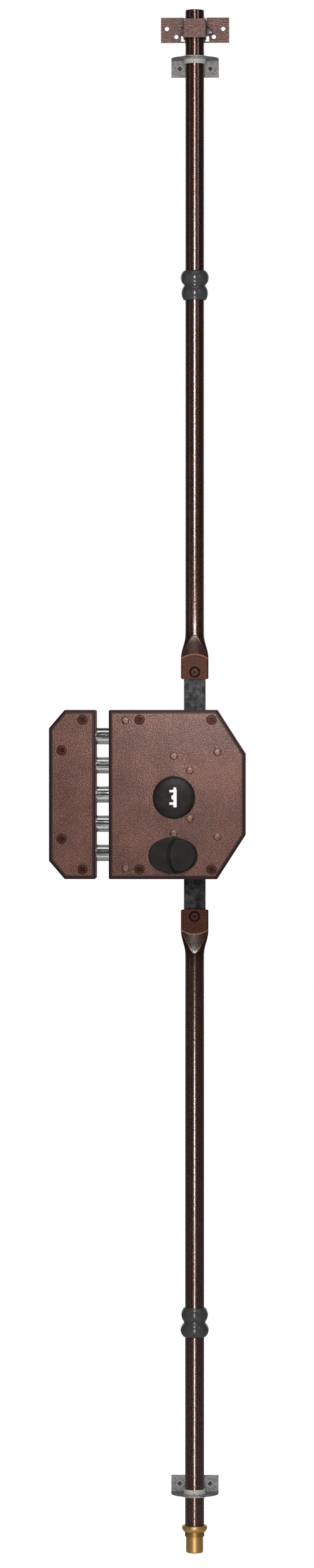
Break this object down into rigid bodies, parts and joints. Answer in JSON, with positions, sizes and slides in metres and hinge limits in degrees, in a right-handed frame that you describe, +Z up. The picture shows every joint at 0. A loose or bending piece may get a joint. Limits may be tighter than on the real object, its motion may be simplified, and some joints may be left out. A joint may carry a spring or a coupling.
{
  "type": "surface mounted multipoint lock",
  "caption": "Rim lock for a door: round bolts shoot sideways from an angular case into a strike box, while two long rods shoot up and down through guides into a top strike and a floor socket.",
  "frame": {"origin": "middle of the four fixing holes behind the case, on the door face", "axes": "+Y into the door leaf, +Z up along the rods, +X to the right as seen from the room, so the bolts shoot towards -X"},
  "size_m": [0.1881, 0.048, 1.4794],
  "materials": {
    "brown_leather_paint": "textured brown paint",
    "brown_hammered_paint": "dark brown hammered paint",
    "zinc_plated_steel": "zinc plated, dull",
    "bright_chrome": "polished chrome",
    "black_plastic": "moulded, fine texture",
    "galvanised_steel": "galvanised, speckled",
    "natural_nylon": "moulded nylon",
    "gunmetal_enamel": "glossy dark grey enamel",
    "yellow_brass": "turned brass",
    "lever_brass": "stamped brass",
    "spring_steel": "blued spring strip"
  },
  "bodies": {
    "lock": {"case_back_plate": "zinc_plated_steel", "case_cover": "brown_leather_paint", "case_pillars": "zinc_plated_steel", "case_screws": "brown_leather_paint", "riveted_posts": "zinc_plated_steel", "lever_spring_block": "zinc_plated_steel", "lever_spring_1": "spring_steel", "lever_spring_2": "spring_steel", "lever_spring_3": "spring_steel", "lever_spring_4": "spring_steel", "keyhole_rose": "black_plastic", "keyhole_guard": "zinc_plated_steel", "slide_base": "black_plastic", "strike_cover": "brown_leather_paint", "strike_back_plate": "zinc_plated_steel", "strike_pillars": "zinc_plated_steel", "strike_screws": "brown_leather_paint", "upper_guide": "galvanised_steel", "lower_guide": "galvanised_steel", "upper_guide_bush": "natural_nylon", "lower_guide_bush": "natural_nylon", "guide_screws": "galvanised_steel", "upper_bead_guide": "gunmetal_enamel", "lower_bead_guide": "gunmetal_enamel", "top_strike_plate": "brown_hammered_paint", "top_strike_bridge": "brown_hammered_paint", "top_strike_set_screw": "zinc_plated_steel", "floor_socket": "yellow_brass"},
    "carriage": {"bolt_carriage": "zinc_plated_steel", "locking_stump": "zinc_plated_steel", "deadbolt_1": "bright_chrome", "deadbolt_2": "bright_chrome", "deadbolt_3": "bright_chrome", "deadbolt_4": "bright_chrome", "deadbolt_5": "bright_chrome", "bolt_rivets": "zinc_plated_steel"},
    "upper_rod_set": {"upper_rod": "brown_hammered_paint", "upper_rod_plug": "brown_hammered_paint", "upper_strap": "zinc_plated_steel", "upper_joint_screw": "brown_hammered_paint", "upper_joint_nut": "zinc_plated_steel"},
    "lower_rod_set": {"lower_rod": "brown_hammered_paint", "lower_rod_nose": "zinc_plated_steel", "lower_strap": "zinc_plated_steel", "lower_joint_screw": "brown_hammered_paint", "lower_joint_nut": "zinc_plated_steel"},
    "upper_rocker_set": {"upper_rocker": "zinc_plated_steel", "upper_rocker_pins": "zinc_plated_steel"},
    "lower_rocker_set": {"lower_rocker": "zinc_plated_steel", "lower_rocker_pins": "zinc_plated_steel"},
    "lever_1_body": {"lever_1": "lever_brass"},
    "lever_2_body": {"lever_2": "lever_brass"},
    "lever_3_body": {"lever_3": "lever_brass"},
    "lever_4_body": {"lever_4": "lever_brass"},
    "inner_slide": {"slide_pad": "black_plastic", "slide_catch": "zinc_plated_steel", "slide_catch_screw": "zinc_plated_steel"}
  },
  "joints": [
    {"name": "bolt_throw", "type": "slide", "parent": "lock", "child": "carriage", "axis": [1, 0, 0], "range_m": [0, 0.028]},
    {"name": "upper_rod_throw", "type": "slide", "parent": "lock", "child": "upper_rod_set", "axis": [0, 0, -1], "range_m": [0, 0.028]},
    {"name": "lower_rod_throw", "type": "slide", "parent": "lock", "child": "lower_rod_set", "axis": [0, 0, 1], "range_m": [0, 0.028]},
    {"name": "upper_rocker_turn", "type": "hinge", "parent": "lock", "child": "upper_rocker_set", "pos_m": [0.04, -0.005, 0.0405], "axis": [0, -1, 0], "range_deg": [0, 79.05]},
    {"name": "lower_rocker_turn", "type": "hinge", "parent": "lock", "child": "lower_rocker_set", "pos_m": [0.04, -0.005, -0.0405], "axis": [0, 1, 0], "range_deg": [0, 79.05]},
    {"name": "lever_1_lift", "type": "slide", "parent": "lock", "child": "lever_1_body", "axis": [0, 0, 1], "range_m": [0, 0.0024], "stiffness_N_per_m": 400, "springref_m": -0.004, "deforming": ["lever_spring_1"]},
    {"name": "lever_2_lift", "type": "slide", "parent": "lock", "child": "lever_2_body", "axis": [0, 0, 1], "range_m": [0, 0.0024], "stiffness_N_per_m": 400, "springref_m": -0.004, "deforming": ["lever_spring_2"]},
    {"name": "lever_3_lift", "type": "slide", "parent": "lock", "child": "lever_3_body", "axis": [0, 0, 1], "range_m": [0, 0.0024], "stiffness_N_per_m": 400, "springref_m": -0.004, "deforming": ["lever_spring_3"]},
    {"name": "lever_4_lift", "type": "slide", "parent": "lock", "child": "lever_4_body", "axis": [0, 0, 1], "range_m": [0, 0.0024], "stiffness_N_per_m": 400, "springref_m": -0.004, "deforming": ["lever_spring_4"]},
    {"name": "inner_slide_travel", "type": "slide", "parent": "lock", "child": "inner_slide", "axis": [-1, 0, 0], "range_m": [0, 0.005]}
  ],
  "couplings": [
    {"joint": "upper_rod_throw", "follows": "bolt_throw", "ratio": 1},
    {"joint": "lower_rod_throw", "follows": "bolt_throw", "ratio": 1},
    {"joint": "upper_rocker_turn", "follows": "bolt_throw", "rad_per_m": 49.27},
    {"joint": "lower_rocker_turn", "follows": "bolt_throw", "rad_per_m": 49.27}
  ]
}
